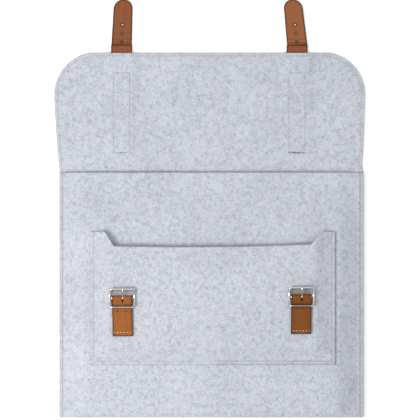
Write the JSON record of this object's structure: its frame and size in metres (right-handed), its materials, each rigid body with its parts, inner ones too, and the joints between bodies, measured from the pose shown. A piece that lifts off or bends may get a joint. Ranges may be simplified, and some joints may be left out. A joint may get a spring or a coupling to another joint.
{
  "type": "laptop sleeve",
  "caption": "Felt laptop sleeve with a round-cornered fold-over flap, a sewn-on front pocket and leather straps that buckle onto leather tabs.",
  "frame": {"origin": "middle of the back panel's outer face, level with the middle of the sleeve's length", "axes": "+X across the sleeve, +Y from its closed bottom to the mouth and on over the open flap, +Z out of the front, up from the surface it lies on"},
  "size_m": [0.3844, 0.5171, 0.0392],
  "materials": {
    "felt": "light grey melange wool felt, matt",
    "leather": "cognac brown leather, satin",
    "nickel": "polished nickel plate",
    "felt_thread": "grey sewing thread",
    "tab_thread": "light waxed sewing thread"
  },
  "bodies": {
    "sleeve": {"back_panel": "felt", "front_panel": "felt", "front_pocket": "felt", "pocket_thread": "felt_thread", "tab_left": "leather", "tab_right": "leather", "tab_thread_left": "tab_thread", "tab_thread_right": "tab_thread", "side_seam_thread_left": "felt_thread", "side_seam_thread_right": "felt_thread"},
    "flap": {"flap_panel": "felt", "flap_edge_thread": "felt_thread", "strap_left": "leather", "strap_right": "leather", "strap_backing_left": "leather", "strap_backing_right": "leather", "strap_thread_left": "felt_thread", "strap_thread_right": "felt_thread"},
    "strap_free_left": {"strap_end_left": "leather"},
    "buckle_left": {"buckle_frame_left": "nickel"},
    "tongue_left": {"buckle_tongue_left": "nickel"},
    "strap_free_right": {"strap_end_right": "leather"},
    "buckle_right": {"buckle_frame_right": "nickel"},
    "tongue_right": {"buckle_tongue_right": "nickel"}
  },
  "joints": [
    {"name": "flap_fold", "type": "hinge", "parent": "sleeve", "child": "flap", "pos_m": [0, 0.166, 0.014], "axis": [1, 0, 0], "range_deg": [0, 173]},
    {"name": "strap_bend_left", "type": "hinge", "parent": "flap", "child": "strap_free_left", "pos_m": [-0.1111, 0.3107, 0.0009], "axis": [-1, 0, 0], "range_deg": [-80, 30]},
    {"name": "buckle_tilt_left", "type": "hinge", "parent": "sleeve", "child": "buckle_left", "pos_m": [-0.1102, -0.0036, 0.03252], "axis": [1, 0, 0], "range_deg": [-22, 0]},
    {"name": "tongue_lift_left", "type": "hinge", "parent": "buckle_left", "child": "tongue_left", "pos_m": [-0.1102, -0.0036, 0.03252], "axis": [-1, 0, 0], "range_deg": [-110, 0]},
    {"name": "strap_bend_right", "type": "hinge", "parent": "flap", "child": "strap_free_right", "pos_m": [0.1059, 0.3107, 0.0009], "axis": [-1, 0, 0], "range_deg": [-80, 30]},
    {"name": "buckle_tilt_right", "type": "hinge", "parent": "sleeve", "child": "buckle_right", "pos_m": [0.1109, -0.0019, 0.03252], "axis": [1, 0, 0], "range_deg": [-22, 0]},
    {"name": "tongue_lift_right", "type": "hinge", "parent": "buckle_right", "child": "tongue_right", "pos_m": [0.1109, -0.0019, 0.03252], "axis": [-1, 0, 0], "range_deg": [-110, 0]}
  ]
}
